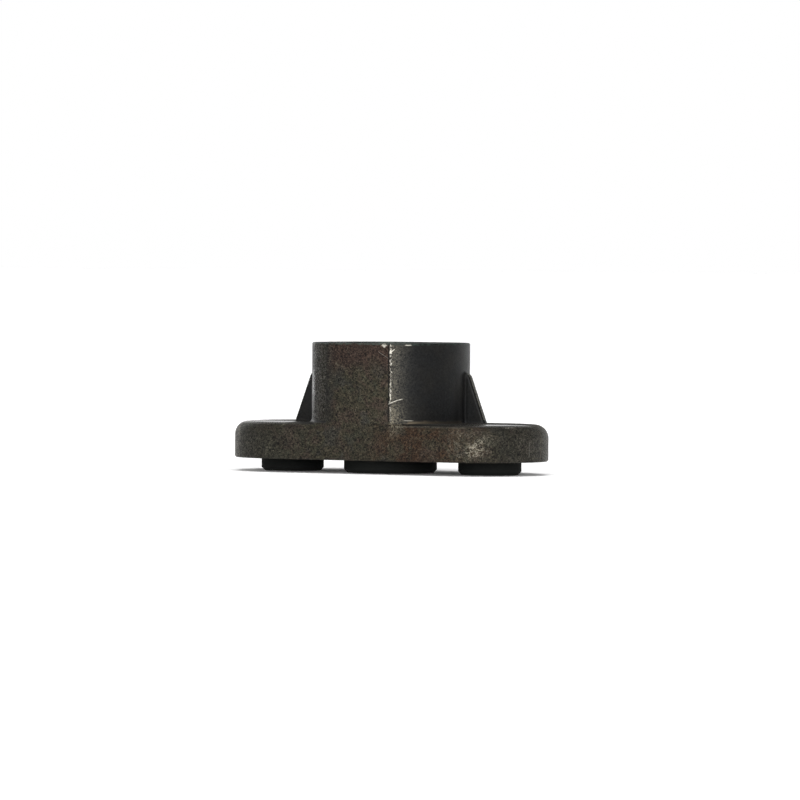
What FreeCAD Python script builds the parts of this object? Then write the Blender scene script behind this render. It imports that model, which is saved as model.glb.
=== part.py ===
"""Mower blade adapter: the one-piece casting that keys a rotary mower's blade to the end of the crankshaft.

Frame: millimetres, Z up along the crank bore, X along the flange, origin on the bore axis at the lug faces.
"""
import FreeCAD
import Part
import math
import os

# Hub: a round sleeve about the crank bore, trimmed flush with the straight sides of the flange
bore_diameter = 22.3
hub_wall = 8.95
hub_height = 20.35
hub_edge_break = 0.25
root_fillet = 1.1

# Crank bore: blind from the top and keyed, with a floor that the blade bolt clamps
bore_floor = 6.0
bore_lead_in = 0.8
key_width = 4.8
key_depth = 2.4
bolt_hole_diameter = 10.3
bolt_hole_lead_in = 0.6

# Flange: straight sides and round ends, a large round along its top edge and a small break along its lower one
flange_width = 35.9
flange_thickness = 9.3
flange_edge_round = 3.4
flange_edge_break = 0.35

# Underside: two drive lugs that enter the blade's outer holes and a pilot that centres it
lug_diameter = 16.0
lug_spacing = 56.7
lug_height = 3.45
lug_edge_break = 0.9
lug_end_margin = 6.4
pilot_diameter = 23.7

# Ribs: two thin gussets at opposite sides of the hub, turned a little from the flange's long axis
rib_angle = 8.0
rib_thickness = 2.5
rib_height = 12.8
rib_land = 1.2
rib_foot = 5.7
rib_shoulder_round = 1.5
rib_edge_round = 0.8
rib_root_fillet = 0.8

# Levels and radii that follow from the sizes above
bore_radius = bore_diameter / 2
hub_radius = bore_radius + hub_wall
flange_length = lug_spacing + lug_diameter + 2 * lug_end_margin
flange_bottom = lug_height
flange_top = flange_bottom + flange_thickness
hub_top = flange_top + hub_height

ORIGIN = FreeCAD.Vector(0, 0, 0)
UP = FreeCAD.Vector(0, 0, 1)
NEAR = 1e-4


def at(x, y, z):
    return FreeCAD.Vector(x, y, z)


def turned(section):
    """A solid of revolution about the bore axis, from radius and height pairs that start and end on the axis."""
    points = [at(r, 0, z) for r, z in section]
    return Part.Face(Part.makePolygon(points + points[:1])).revolve(ORIGIN, UP, 360)


def plate():
    """The flange's obround plate, with its top edge rounded."""
    half = flange_width / 2
    reach = flange_length / 2 - half
    low = flange_bottom
    outline = Part.Wire([
        Part.makeLine(at(-reach, -half, low), at(reach, -half, low)),
        Part.Arc(at(reach, -half, low), at(reach + half, 0, low), at(reach, half, low)).toShape(),
        Part.makeLine(at(reach, half, low), at(-reach, half, low)),
        Part.Arc(at(-reach, half, low), at(-reach - half, 0, low), at(-reach, -half, low)).toShape()])
    solid = Part.Face(outline).extrude(UP * flange_thickness)
    upper = [e for e in solid.Edges if e.BoundBox.ZMin > flange_top - NEAR]
    return solid.makeFillet(flange_edge_round, upper)


def meets_plate(edge):
    """True for the edges where the sleeve's round wall meets the plate, over its top and down its sides."""
    first, last = edge.ParameterRange
    points = [edge.valueAt(first + (last - first) * k / 6) for k in range(7)]
    on_wall = all(abs(math.hypot(p.x, p.y) - hub_radius) < NEAR for p in points)
    return on_wall and flange_bottom + NEAR < edge.BoundBox.ZMax < flange_top + NEAR


def casting():
    """Plate and sleeve blended all round the root, then cut off by the planes of the plate's two sides.

    The sleeve is wider than the plate, so the cut leaves one flat on each side of the hub that runs on
    into the side of the flange, and the root blend dies out into the foot of the flat's upright edges.
    """
    sleeve = turned([(0, flange_bottom), (hub_radius, flange_bottom), (hub_radius, hub_top - hub_edge_break),
                     (hub_radius - hub_edge_break, hub_top), (0, hub_top)])
    solid = plate().fuse(sleeve).removeSplitter()
    solid = solid.makeFillet(root_fillet, [e for e in solid.Edges if meets_plate(e)])
    between = Part.makeBox(flange_length, flange_width, hub_top, at(-flange_length / 2, -flange_width / 2, 0))
    solid = solid.common(between).removeSplitter()
    lower = [e for e in solid.Edges if e.BoundBox.ZMax < flange_bottom + NEAR]
    return solid.makeChamfer(flange_edge_break, lower)


def rib(angle):
    """A gusset from the hub's wall down to the flange: a short land, a rounded shoulder, a slope with round edges."""
    inner = hub_radius - hub_wall / 2
    shoulder = at(hub_radius + rib_land, 0, flange_top + rib_height)
    foot = hub_radius + rib_foot
    buried = flange_top - flange_thickness / 2
    profile = Part.makePolygon([
        at(inner, 0, buried), at(foot, 0, buried), at(foot, 0, flange_top), shoulder,
        at(inner, 0, flange_top + rib_height), at(inner, 0, buried)])
    web = Part.Face(profile).extrude(at(0, rib_thickness, 0))
    crest = [e for e in web.Edges if abs(e.BoundBox.XMin - shoulder.x) < NEAR and e.BoundBox.XLength < NEAR
             and e.BoundBox.ZMin > shoulder.z - NEAR]
    web = web.makeFillet(rib_shoulder_round, crest)
    crest = [e for e in web.Edges if e.BoundBox.YLength < NEAR and e.BoundBox.ZMin > flange_top - NEAR
             and e.BoundBox.XMax > inner + NEAR]
    web = web.makeFillet(min(rib_edge_round, rib_thickness / 2 - NEAR), crest)
    web.translate(at(0, -rib_thickness / 2, 0))
    web.rotate(ORIGIN, UP, angle)
    return web


def ribbed(body, webs):
    """The casting with its gussets, blended all round the line where each one grows out of it."""
    solid = body.fuse(webs).removeSplitter()
    skins = [body.Shells[0]] + [web.Shells[0] for web in webs]
    grown = []
    for edge in solid.Edges:
        first, last = edge.ParameterRange
        marks = [Part.Vertex(edge.valueAt(first + (last - first) * k / 4)) for k in range(5)]
        on = [all(skin.distToShape(mark)[0] < NEAR for mark in marks) for skin in skins]
        if on[0] and any(on[1:]):
            grown.append(edge)
    return solid.makeFillet(rib_root_fillet, grown)


def boss(diameter, x):
    """A round boss on the underside, broken at its lower edge and rooted in the plate."""
    radius = diameter / 2
    root = flange_bottom + flange_thickness / 2
    solid = turned([(0, 0), (radius - lug_edge_break, 0), (radius, lug_edge_break), (radius, root), (0, root)])
    solid.translate(at(x, 0, 0))
    return solid


def bores():
    """What is machined away: the keyed crank bore from above and the bolt hole through its floor."""
    mouth = hub_top + bore_lead_in
    crank = turned([(0, bore_floor), (bore_radius, bore_floor), (bore_radius, hub_top - bore_lead_in),
                    (bore_radius + 2 * bore_lead_in, mouth), (0, mouth)])
    key = Part.makeBox(bore_radius + key_depth, key_width, mouth - bore_floor, at(0, -key_width / 2, bore_floor))
    hole = bolt_hole_diameter / 2
    bolt = turned([(0, -bolt_hole_lead_in), (hole + 2 * bolt_hole_lead_in, -bolt_hole_lead_in),
                   (hole, bolt_hole_lead_in), (hole, hub_top), (0, hub_top)])
    return crank.fuse([key, bolt])


bosses = [boss(lug_diameter, lug_spacing / 2), boss(lug_diameter, -lug_spacing / 2), boss(pilot_diameter, 0)]
body = ribbed(casting(), [rib(rib_angle), rib(rib_angle + 180)])
adapter = body.fuse(bosses).cut(bores()).removeSplitter()

os.makedirs("parts", exist_ok=True)
adapter.Solids[0].exportStep("parts/blade_adapter.step")
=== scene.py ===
import bpy
import math
from mathutils import Matrix, Vector

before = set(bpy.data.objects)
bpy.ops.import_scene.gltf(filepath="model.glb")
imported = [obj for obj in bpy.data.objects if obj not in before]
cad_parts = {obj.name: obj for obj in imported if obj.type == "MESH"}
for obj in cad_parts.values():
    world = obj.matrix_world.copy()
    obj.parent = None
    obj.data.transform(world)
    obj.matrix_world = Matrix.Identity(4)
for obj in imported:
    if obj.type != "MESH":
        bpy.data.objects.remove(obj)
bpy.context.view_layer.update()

# The casting: hub, flange, ribs, lugs and pilot are one piece of iron, poured in a sand mould.
# Its skin is a dark oxide, smooth and cool on the round walls and the ribs, which drew clean from the mould.
# Lengths in the finish are millimetres, from the axis of the crank bore and the faces of the lugs.
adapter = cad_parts["blade_adapter"]
iron = bpy.data.materials.new("dark_cast_iron")
iron.use_nodes = True
skin = iron.node_tree.nodes["Principled BSDF"]
skin.inputs["Specular IOR Level"].default_value = 0.2
hub_top, hub_radius, flange_top, flange_bottom = 33.1, 20.1, 12.75, 3.45


class Tone:
    """A socket of a finish. Sums of tones add the nodes that work them out."""

    def __init__(self, tree, socket=None):
        self.tree = tree
        self.socket = socket

    def node(self, kind, settings, sockets, output=0):
        made = self.tree.nodes.new("ShaderNode" + kind)
        for name, value in settings.items():
            setattr(made, name, value)
        for name, value in sockets.items():
            if isinstance(value, Tone):
                self.tree.links.new(value.socket, made.inputs[name])
            else:
                made.inputs[name].default_value = value
        return Tone(self.tree, made.outputs[output])

    def sum(self, operation, first, second=0.0):
        pair = [first, second]
        if any(isinstance(part, Tone) and part.socket.type == "VECTOR" for part in pair):
            pair = [part if isinstance(part, Tone) else (part, part, part) for part in pair]
            return self.node("VectorMath", {"operation": operation}, {0: pair[0], 1: pair[1]})
        return self.node("Math", {"operation": operation}, {0: pair[0], 1: pair[1]})

    def __add__(self, other):
        return self.sum("ADD", self, other)

    def __radd__(self, other):
        return self.sum("ADD", other, self)

    def __sub__(self, other):
        return self.sum("SUBTRACT", self, other)

    def __rsub__(self, other):
        return self.sum("SUBTRACT", other, self)

    def __mul__(self, other):
        return self.sum("MULTIPLY", self, other)

    def __rmul__(self, other):
        return self.sum("MULTIPLY", other, self)

    def __pow__(self, other):
        return self.sum("POWER", self, other)

    def __abs__(self):
        return self.sum("ABSOLUTE", self)

    def __or__(self, other):
        return self.sum("MAXIMUM", self, other)

    def rise(self, low, high):
        return self.node("MapRange", {"interpolation_type": "SMOOTHSTEP"},
                         {"Value": self, "From Min": low, "From Max": high})

    def band(self, low, high, soft):
        return self.rise(low - soft, low + soft) * self.rise(high + soft, high - soft)

    def wander(self, reach):
        return reach * (self - 0.5)

    def between(self, first, second):
        return self.node("Mix", {"data_type": "RGBA"}, {0: self, 6: first, 7: second}, 2)

    def over(self, colour, share):
        return share.between(self, colour)

    def times(self, shade):
        return self.node("Mix", {"data_type": "RGBA", "blend_type": "MULTIPLY"}, {0: 1.0, 6: self, 7: shade}, 2)

    def grain(self, scale, detail=3.0, rough=0.6, swirl=0.0):
        return self.node("TexNoise", {}, {"Vector": self, "Scale": scale, "Detail": detail,
                                          "Roughness": rough, "Distortion": swirl})


def paint(red, green, blue):
    return (red, green, blue, 1.0)


start = Tone(iron.node_tree)
spot = start.node("TexCoord", {}, {}, "Object") * 1000.0
facing = start.node("TexCoord", {}, {}, "Normal")
x, y, z = [spot.node("SeparateXYZ", {}, {0: spot}, axis) for axis in "XYZ"]
face_x, face_y, face_z = [facing.node("SeparateXYZ", {}, {0: facing}, axis) for axis in "XYZ"]
from_axis = (x * x + y * y) ** 0.5
fine = spot.grain(2.1, 4.0, 0.8, 1.0)
cloud = spot.grain(0.13, 3.0, 0.55)
blotch = spot.grain(0.45, 4.0, 0.65, 0.6)

colour = cloud.rise(0.35, 0.65).between(paint(0.0182, 0.0186, 0.0190), paint(0.0214, 0.0210, 0.0201))
colour = colour.times(0.7 + 0.6 * fine.rise(0.30, 0.70))
metal = 1.0
rough = 0.50 + blotch.wander(0.12)
grit = 0.35 * fine

# The sides: the hub's two flats run straight down into the flange's edge, all in one plane with it.
# They lay against rough sand, so they are grainy and brown, with heat tints of olive, purple and rust.
# The round shoulder to the left of each flat is grainy too, with a streak of sheen along its far rim.
flange_half_width = 17.95
front = y.rise(0.5, -0.5)
side_x = x * (2.0 * front - 1.0)
plane = abs(y).rise(flange_half_width - 0.09, flange_half_width - 0.02)
flat = plane * z.rise(flange_top - 0.4, flange_top + 0.8)
flange = z.rise(flange_bottom - 0.25, flange_bottom - 0.05) * z.rise(flange_top + 0.3, flange_top - 0.1)
above = z.rise(flange_top + 0.2, flange_top + 1.2)
shoulder = above * (1.0 - flat)
lee = shoulder * (side_x + blotch.wander(4.0)).rise(-18.0, -13.5)
lee = lee * side_x.rise(-6.0, -9.0) * abs(y).rise(7.0, 12.0)
corner = flat * (side_x + blotch.wander(2.5)).rise(-6.2, -9.2)
sides = ((plane | flange) - 0.30 * corner) | lee
tint = spot.grain(0.10, 2.0, 0.5)
hue = spot.grain(0.24, 3.0, 0.6, 0.8)
slate = (spot + 31.0).grain(0.2, 2.0, 0.5).rise(0.54, 0.66)
purple = flat * (z + tint.wander(12.0)).rise(23.0, 29.0)
rust = flange * (side_x + tint.wander(16.0)).band(7.0, 31.0, 9.0)
rust = rust * (0.25 + 0.75 * (spot + 12.0).grain(0.30, 3.0, 0.6).rise(0.42, 0.58))
grey = flange * (abs(side_x - 8.0) + tint.wander(14.0)).rise(20.0, 38.0)
brown = blotch.rise(0.3, 0.7).between(paint(0.0290, 0.0255, 0.0162), paint(0.0390, 0.0338, 0.0208))
for stain, share in (
        (paint(0.0365, 0.0258, 0.0190), 0.90 * hue.rise(0.49, 0.64)),
        (paint(0.0285, 0.0290, 0.0185), 0.85 * hue.rise(0.48, 0.34)),
        (paint(0.0260, 0.0258, 0.0232), 0.60 * slate),
        (paint(0.0345, 0.0205, 0.0156), 0.90 * purple),
        (paint(0.0385, 0.0205, 0.0108), 0.95 * rust),
        (paint(0.0250, 0.0236, 0.0178), 0.90 * grey)):
    brown = brown.over(stain, share)
brown = brown.times(1.0 - 0.11 * flange)
brown = brown.over(paint(0.0235, 0.0215, 0.0175), 0.8 * (lee | corner))
mottle = spot.grain(0.75, 3.0, 0.6, 1.5)
brown = brown.times((0.02 + 1.70 * fine.rise(0.37, 0.63)) * (0.72 + 0.50 * mottle.rise(0.25, 0.75)))
brown = brown.times(1.0 + side_x.rise(-9.0, 9.0).wander(0.30 * flat))
straw = paint(0.1350, 0.1250, 0.0930)
brown = brown.over(straw, 0.75 * fine.rise(0.58, 0.74))
brown = brown.over(straw, 0.45 * blotch.rise(0.56, 0.72) * fine.rise(0.46, 0.62))
colour = colour.over(brown, sides)
metal = metal - 0.65 * sides
sheen = shoulder * side_x.band(-16.3, -14.7, 0.5) * abs(y).rise(7.0, 9.0)
sheen = sheen * (0.3 + 0.7 * z.band(18.5, 25.5, 3.0)) * (0.3 + fine.rise(0.35, 0.65))
rough = rough + sides * (0.08 + 0.30 * (0.5 - fine.rise(0.30, 0.70))) - 0.33 * sheen
rough = rough + 0.6 * lee * (0.7 - fine.rise(0.35, 0.65))
grit = grit + 1.3 * sides * fine

# The flange's deck: its upper face and the top of its rounded edge, painted lighter than the sides as a painted
# sheen. The near part is wiped smooth by hand and rag.
# Painted shade darkens the corner round the hub's root, and painted highlights run as thin light lines on the
# root's fillet and along the lip.
deck = face_z.rise(0.80, 0.97) * z.band(flange_top - 1.5, flange_top + 0.3, 0.2)
# The deck's colour is lighter than the sides': a painted sheen of the upward faces.
deck_sheen = blotch.rise(0.3, 0.7).between(paint(0.042, 0.040, 0.035), paint(0.064, 0.061, 0.054))
colour = colour.over(deck_sheen.times(0.5 + 0.8 * fine.rise(0.33, 0.67)), 0.9 * deck)
# Painted shade: the deck is darkened in a ring round the hub's root, where the corner is shaded.
root_shade = deck * (from_axis + blotch.wander(1.2)).band(hub_radius + 0.6, hub_radius + 3.5, 0.7)
colour = colour.over(paint(0.006, 0.006, 0.005), 0.8 * root_shade)
polish = deck * (y + blotch.wander(6.0)).rise(1.0, -3.0) * abs(side_x).rise(19.0, 24.0)
metal = metal - 0.25 * deck
rough = rough + 0.32 * deck - 0.68 * polish
grit = grit * (1.0 + 0.3 * deck - 1.1 * polish)
# Painted shadow: a near black line on the deck where it narrows between the hub's root and its front edge.
pinch_shadow = abs(y).rise(13.2, 14.6) * side_x.rise(10.8, 11.8) * side_x.rise(34.0, 22.0)
pinch_shadow = pinch_shadow * z.band(flange_top - 0.29, flange_top + 0.09, 0.08)
colour = colour.over(paint(0.004, 0.004, 0.003), 0.9 * pinch_shadow)
metal = metal - 0.25 * pinch_shadow
rough = rough + 0.3 * pinch_shadow
# Painted highlight: a light band on the top of the hub's root fillet, where it faces the light from above.
root_highlight = (from_axis + blotch.wander(0.3)).band(hub_radius + 0.06, hub_radius + 0.70, 0.10)
root_highlight = root_highlight * z.band(flange_top + 0.15, flange_top + 1.05, 0.1)
root_highlight = root_highlight * side_x.rise(10.5, 12.5) * (0.4 + 0.6 * side_x.rise(20.0, 14.0))
colour = colour.over(paint(0.090, 0.074, 0.053), 0.95 * root_highlight)
# Painted highlight: a broken light line along the lip of the deck's front edge.
lip_highlight = abs(y).rise(15.2, 16.0) * z.band(flange_top - 0.73, flange_top - 0.41, 0.10) * side_x.rise(9.5, 11.0)
colour = colour.over(paint(0.110, 0.104, 0.086), 0.55 * lip_highlight * fine.rise(0.38, 0.58))

# The worn ridge: the sharp upright corner between a flat and the round wall, knocked about in handling.
# Its oxide is rubbed off in a thin broken line of bare iron. The soft light band on the wall beside it is partly
# rubbed iron and partly a painted highlight of the front lamp.
ridge_x = 9.045
ridge = side_x - ridge_x
upright = above * face_z.rise(0.75, 0.45) * abs(y).rise(7.0, 9.0)
wall = upright * (1.0 - flat)
chips = spot.grain(0.9, 4.0, 0.75, 0.4)
bare = paint(0.520, 0.495, 0.430)
rubbed = paint(0.110, 0.105, 0.090)
soot = paint(0.003, 0.003, 0.003)
groove = upright * ridge.band(-0.48, -0.10, 0.10) * (cloud + chips.wander(0.6)).rise(0.30, 0.46)
line = upright * (ridge + chips.wander(1.6)).band(0.02, 0.30, 0.10)
line = line * (fine + cloud.wander(0.5)).rise(0.44, 0.62) * (0.25 + 0.75 * z.rise(15.5, 18.5))
# The band beside the ridge: partly rubbed iron, partly a painted highlight where the wall faces the front lamp.
band = wall * ridge.rise(7.5, -0.5) ** 2.2 * ridge.rise(-0.3, 0.1)
foot = z.rise(19.0, 14.0) * (z + chips.wander(4.0)).rise(8.2, 11.4) * ridge.rise(-0.2, 0.2)
foot = foot * (ridge + chips.wander(2.5)).rise(4.2, 0.2) * abs(y).rise(7.0, 9.0)
root = above * (from_axis + chips.wander(0.5)).rise(hub_radius + 0.02, hub_radius + 0.25)
root = root * ridge.rise(9.0, 3.0) * ridge.rise(-0.2, 0.4) * z.rise(14.6, 13.8)
other_corner = upright * (side_x + 9.1).band(-0.2, 0.2, 0.2)
colour = colour.over(soot, 0.9 * groove)
colour = colour.over(paint(0.120, 0.110, 0.086), 0.75 * band * fine.rise(0.40, 0.64))
colour = colour.over(paint(0.170, 0.150, 0.108), 0.68 * foot * fine.rise(0.44, 0.60))
colour = colour.over(rubbed, 0.40 * root * fine.rise(0.30, 0.60))
colour = colour.over(bare, 0.95 * line)
colour = colour.over(paint(0.004, 0.004, 0.004), 0.25 * other_corner)
metal = metal - 0.25 * foot * wall
rough = rough - 0.10 * line

# Scratches and knocks on the front: a few bright cuts through the oxide, from tools and other castings, and two
# painted highlights, on the hub's top edge and on its root fillet.
# Each lies on the surface where it was struck, so it is given by its place in millimetres.
hair = chips.wander(0.5)
struck = upright * front
past_slash = x - 8.87
slash = (z - 17.9 - 0.56 * past_slash + 0.045 * past_slash * past_slash + 0.5 * hair).band(-0.08, 0.08, 0.07)
slash = struck * slash * x.band(8.8, 11.8, 0.35) * (0.45 + 0.55 * fine.rise(0.35, 0.55))
cut = (z - 30.94 + 0.576 * (x - 5.93) + 0.5 * hair).band(-0.06, 0.06, 0.06)
cut = front * flat * cut * x.band(5.9, 8.6, 0.3)
# Painted highlight: a short bright line along the top of the hub's root fillet.
fillet_highlight = front * above * (z + 0.5 * hair).band(13.62, 13.80, 0.10) * x.band(12.2, 13.9, 0.35)
knock = struck * (abs(x - 7.5) + 1.3 * abs(z - 32.6) + 1.6 * hair).rise(1.00, 0.55)
knock = knock | struck * (1.3 * abs(x - 9.25) + 0.40 * abs(z - 30.7) + 2.0 * hair).rise(0.55, 0.25)
knock = knock | front * wall * (z - 31.1 - 0.9 * (x - 9.5)).band(-0.10, 0.10, 0.10) * x.band(9.3, 10.1, 0.15)
# Painted highlight: a short light line on the chamfer of the hub's top edge.
brow_highlight = (z + 0.3 * hair).band(hub_top - 0.55, hub_top - 0.22, 0.08) * x.band(12.4, 13.5, 0.3)
nick = (0.45 * abs(x - 38.2) + 3.0 * abs(z - 12.22) + 0.8 * hair).rise(0.62, 0.30)
nick = front * nick * x.rise(36.0, 37.0) * fine.rise(0.38, 0.56)
knock = (knock | 0.8 * struck * brow_highlight) | 0.7 * nick
pit = struck * (abs(x - 9.25) + abs(z - 30.35) + 0.6 * hair).rise(0.42, 0.22)
drip = x.rise(41.0, 41.4) * (y + 5.1 + 0.8 * hair).band(-0.10, 0.10, 0.12) * z.band(5.0, 8.6, 0.5)
bright = (slash | 0.30 * cut) | (0.6 * fillet_highlight | (knock | 0.25 * drip))
colour = colour.over(bare, 0.85 * bright)
colour = colour.over(soot, 0.9 * pit)

# The rubbed end: where the flange's edge turns into its round end, a swirl of bright specks is painted on the tops
# of the grains, partly rubbed iron and partly a painted highlight where the end faces the front lamp.
# Both ends are painted lighter towards their outer rims, a painted sheen, and part of the right end's near face is
# darker.
specks = (spot + 7.3).grain(1.05, 5.0, 0.8, 1.4)
# Bright specks where the end faces the camera: partly rubbed grain tops, partly a painted highlight of the front
# lamp.
rubbed_and_highlit_patch = (side_x - 0.5 * (z - 8.0) + blotch.wander(5.0)).band(30.6, 35.2, 1.8)
rubbed_and_highlit_patch = rubbed_and_highlit_patch * (z + blotch.wander(4.0)).band(4.6, 9.6, 1.8)
haze = (side_x + blotch.wander(5.0)).band(25.5, 34.0, 3.0) * z.band(4.5, 11.5, 1.2)
end_sheen = 0.22 * x.rise(36.0, 42.0) | 0.6 * x.rise(-33.5, -39.0)
rubbed_and_highlit_patch = flange * (abs(y).rise(8.0, 12.0) * (rubbed_and_highlit_patch | 0.28 * haze) | end_sheen)
tops = flange * (0.15 + 1.1 * fine.rise(0.36, 0.64))
# Painted sheen: both ends lighter towards their outer rims; part of the right end's near face is darker.
colour = colour.over(paint(0.070, 0.067, 0.060), 0.42 * tops * x.rise(-34.5, -40.0))
colour = colour.times(1.0 - 0.32 * flange * x.rise(33.0, 38.0) * y.band(-12.5, -2.5, 2.5))
colour = colour.over(paint(0.125, 0.120, 0.108), 0.72 * tops * x.rise(36.0, 39.0) * y.rise(-0.5, 6.5))
colour = colour.over(paint(0.380, 0.345, 0.270), 0.90 * rubbed_and_highlit_patch * specks.rise(0.48, 0.66))

# The ribs: two thin gussets cast with the hub, which stiffen the foot of its wall against the flange.
# A painted highlight runs as a thin broken light line down each rounded slope, and painted shade darkens the
# rounding beside it and the corners where they meet the hub.
rib_turn = math.radians(8.0)
rib_slope = 0.352
rib_face = face_y * math.cos(rib_turn) - face_x * math.sin(rib_turn)
reach = abs(x * math.cos(rib_turn) + y * math.sin(rib_turn)) - hub_radius
beside = abs(y * math.cos(rib_turn) - x * math.sin(rib_turn))
on_rib = beside.rise(2.0, 1.5)
# Painted highlight: a thin light line along each rib's rounded slope, broken into specks.
edge_highlight = abs(rib_face).rise(0.58, 0.42) * (0.35 + 0.65 * abs(rib_face).rise(0.07, 0.23))
edge_highlight = edge_highlight * (reach + rib_slope * (z - flange_top)).rise(4.4, 4.8)
edge_highlight = edge_highlight * z.rise(flange_top + 0.8, flange_top + 1.2) * on_rib * reach.rise(0.3, 0.9)
colour = colour.over(paint(0.300, 0.285, 0.240), 0.8 * edge_highlight * fine.rise(0.38, 0.60))
# Painted shade: the rounding between a rib's side and its edge is darkened where it catches the lamps.
crest_shade = abs(rib_face).band(0.55, 0.90, 0.08) * on_rib * reach.rise(0.8, 1.4) * above
colour = colour.times(1.0 - 0.35 * crest_shade)
webbed = z.band(flange_top + 0.3, flange_top + 12.0, 0.8)
# Painted shade: the corners where the ribs meet the hub are darkened.
nook_shade = webbed * beside.band(1.20, 1.85, 0.12) * reach.band(-0.1, 1.0, 0.2)
colour = colour.times(1.0 - 0.5 * nook_shade)
metal = metal - 0.5 * webbed * beside.band(1.8, 4.2, 0.8) * reach.band(-1.2, 0.3, 0.3)

# The hub's mouth: the end face was turned flat on a lathe and has since gone dull, with the tool's rings in it.
# Its thin broken rim has a pale green film of old oil.
mouth = face_z.rise(0.90, 0.98) * z.rise(hub_top - 0.3, hub_top - 0.1)
rim = (z + chips.wander(0.4)).rise(hub_top - 0.45, hub_top - 0.25)
rim = rim * (1.0 - mouth) * chips.rise(0.40, 0.60)
colour = colour.over(paint(0.048, 0.066, 0.056), 0.8 * rim)
turning = start.node("TexNoise", {"noise_dimensions": "1D"}, {
    "W": from_axis + cloud.wander(0.3), "Scale": 3.2, "Detail": 4.0, "Roughness": 0.7})
faced = turning.rise(0.35, 0.65).between(paint(0.013, 0.016, 0.0145), paint(0.030, 0.035, 0.032))
colour = colour.over(faced.times(0.7 + 0.6 * blotch.rise(0.3, 0.7)), 0.95 * mouth)
metal = metal - 0.8 * mouth
rough = rough + 0.40 * mouth - 0.15 * mouth * turning
grit = grit * (1.0 - mouth) + 0.5 * mouth * turning

# The lugs and the pilot: round bosses of the same casting, which sit in the blade's holes and turn it.
# They are painted near black and matt, and worn a little on the faces that the part stands on.
low = z.rise(flange_bottom - 0.05, flange_bottom - 0.35)
colour = colour.over(paint(0.0092, 0.0104, 0.0094), 0.9 * low)
metal = metal - 0.9 * low
rough = rough + 0.40 * low
worn_foot = z.rise(0.25, 0.05) * blotch.rise(0.40, 0.62)
colour = colour.over(rubbed, 0.35 * worn_foot)

# The crank bore: the hole that slides on the engine's shaft, with a slot for its key.
# It was turned on a lathe, so it is bright bare iron, with fine rings left by the tool.
bore_radius = 11.15
bore = from_axis.rise(bore_radius + 0.75, bore_radius + 0.25) * z.rise(3.0, 3.4)
rings = start.node("TexNoise", {"noise_dimensions": "1D"}, {
    "W": z + 0.6 * from_axis, "Scale": 5.0, "Detail": 3.0})
steel = rings.between(paint(0.17, 0.165, 0.155), paint(0.27, 0.265, 0.25))
colour = colour.over(steel, bore)
rough = rough - 0.14 * bore
grit = grit * (1.0 - bore) + 0.5 * bore * rings

# The whole finish: its colour, metal, roughness and the relief of its grain, on the casting's one slot.
# The relief is that of fine sand, so it is shallow, and the outline stays that of the casting itself.
relief = start.node("Bump", {}, {"Strength": 0.6, "Distance": 0.00015, "Height": grit})
for name, tone in (("Base Color", colour), ("Metallic", metal), ("Roughness", rough), ("Normal", relief)):
    iron.node_tree.links.new(tone.socket, skin.inputs[name])
adapter.data.materials.clear()
adapter.data.materials.append(iron)

# The floor: a sheet of white paper that the adapter stands on, wide enough to fill every view.
# The camera sees it white, as the photograph's own exposure does, and it takes the casting's shadow.
bpy.ops.mesh.primitive_plane_add(size=60.0)
floor = bpy.context.object
floor.name = "paper_floor"
paper = bpy.data.materials.new("white_paper")
paper.use_nodes = True
paper.node_tree.nodes.remove(paper.node_tree.nodes["Principled BSDF"])
sheet = Tone(paper.node_tree)
rays = [sheet.node("LightPath", {}, {}, "Is %s Ray" % kind) for kind in ("Camera", "Glossy", "Transmission")]
seen = rays[0] | rays[1] | rays[2]
pale = seen.between(paint(0.92, 0.92, 0.92), paint(1.21, 1.21, 1.21))
matt = sheet.node("BsdfDiffuse", {}, {"Color": pale})
paper.node_tree.links.new(matt.socket, paper.node_tree.nodes["Material Output"].inputs["Surface"])
floor.data.materials.append(paper)

# The light: a studio with white walls all round and a dim ceiling, lit from above through a wide soft cloth.
# The walls show white to the camera and along the casting's rims.
room = bpy.data.worlds.new("white_studio")
room.use_nodes = True
walls = Tone(room.node_tree)
toward = walls.node("TexCoord", {}, {}, "Generated")
climb = toward.node("SeparateXYZ", {}, {0: toward}, "Z")
dimming = 1.0 - 0.8 * climb.rise(0.15, 0.55)
backdrop = room.node_tree.nodes["Background"]
backdrop.inputs["Color"].default_value = paint(1, 1, 1)
room.node_tree.links.new(dimming.socket, backdrop.inputs["Strength"])
bpy.context.scene.world = room

camera_turn = math.radians(27.68)
across = Vector((math.cos(camera_turn), math.sin(camera_turn), 0))
away = Vector((-math.sin(camera_turn), math.cos(camera_turn), 0))
up = Vector((0, 0, 1))


def hang(name, lamp, place, target):
    """Put a lamp of the studio in its place, turned towards what it lights."""
    hung = bpy.data.objects.new(name, lamp)
    hung.location = place
    hung.rotation_euler = (target - place).to_track_quat("-Z", "Y").to_euler()
    bpy.context.scene.collection.objects.link(hung)
    return hung


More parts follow.
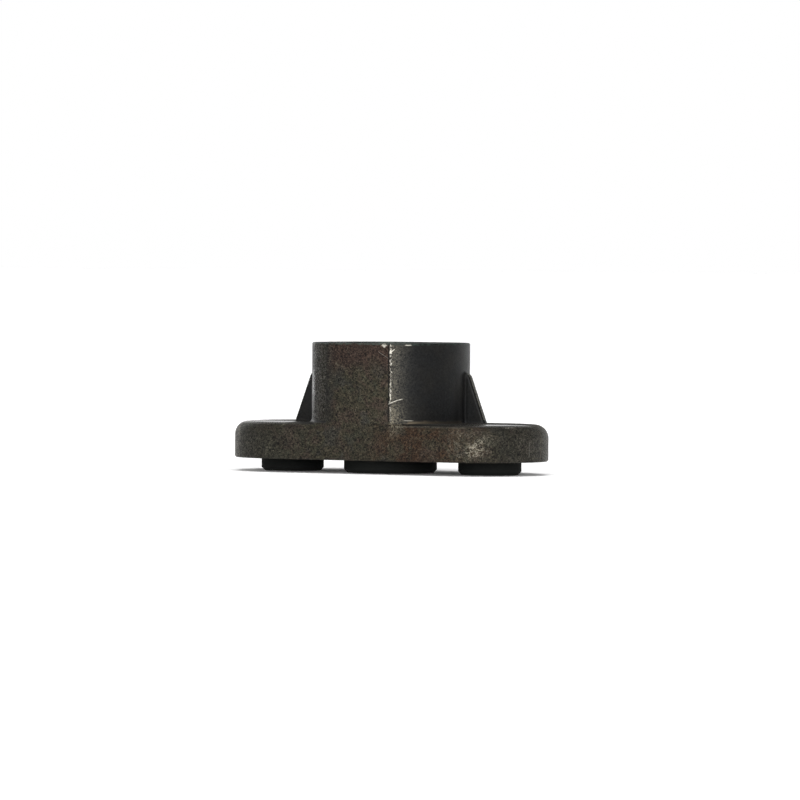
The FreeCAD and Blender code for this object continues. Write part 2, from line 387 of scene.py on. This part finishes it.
cloth = bpy.data.lights.new("soft_cloth", "SUN")
cloth.energy = 0.68 * math.pi
cloth.angle = math.radians(50)
hang("soft_cloth", cloth, Vector((0, 0, 0)), away * 0.45 - up)

# The front lamp: a small square lamp on a stand above the camera, which lifts the sides that face it.
# It is weak, so the casting stays dark and the shadow on the paper stays soft.
middle = up * 0.015
lamp = bpy.data.lights.new("front_lamp", "AREA")
lamp.energy = 8.0
lamp.size = 0.35
hang("front_lamp", lamp, up * 0.243 - away * 1.28, middle)

# The rim strips: two panels of light behind the casting, one at each side, the left one brighter.
# They draw the thin light edges of the hub and of the flange's ends, and are out of the picture.
for aside, power in ((-0.40, 0.95), (0.50, 0.12)):
    panel = bpy.data.lights.new("rim_strip", "AREA")
    panel.shape = "RECTANGLE"
    panel.size, panel.size_y = 0.3, 0.5
    panel.energy = power
    strip = hang("rim_strip", panel, away * 0.85 + across * aside + up * 0.27, middle)
    strip.visible_camera = False

# The camera: a long lens almost level with the top of the hub, turned round towards one end of the flange.
# The fit of the outline gave its place, so the lens and the distance are those of the photograph.
camera_dip = math.radians(1.26)
camera_roll = math.radians(0.36)
camera_distance, camera_aside, camera_height = 1.6, 0.00232, 0.05368
focal_pixels, frame_pixels = 6288.0, 800
ahead = away * math.cos(camera_dip) - up * math.sin(camera_dip)
above_lens = away * math.sin(camera_dip) + up * math.cos(camera_dip)
right = across * math.cos(camera_roll) + above_lens * math.sin(camera_roll)
lens_up = above_lens * math.cos(camera_roll) - across * math.sin(camera_roll)
place = across * camera_aside - away * camera_distance + up * camera_height
camera_data = bpy.data.cameras.new("long_lens")
camera_data.sensor_width = 36.0
camera_data.lens = focal_pixels / frame_pixels * camera_data.sensor_width
camera_data.clip_end = 100.0
camera = bpy.data.objects.new("camera", camera_data)
bpy.context.scene.collection.objects.link(camera)
turn = Matrix((right, lens_up, -ahead)).transposed().to_4x4()
camera.matrix_world = Matrix.Translation(place) @ turn
bpy.context.scene.camera = camera

bpy.context.scene.view_settings.view_transform = "Standard"
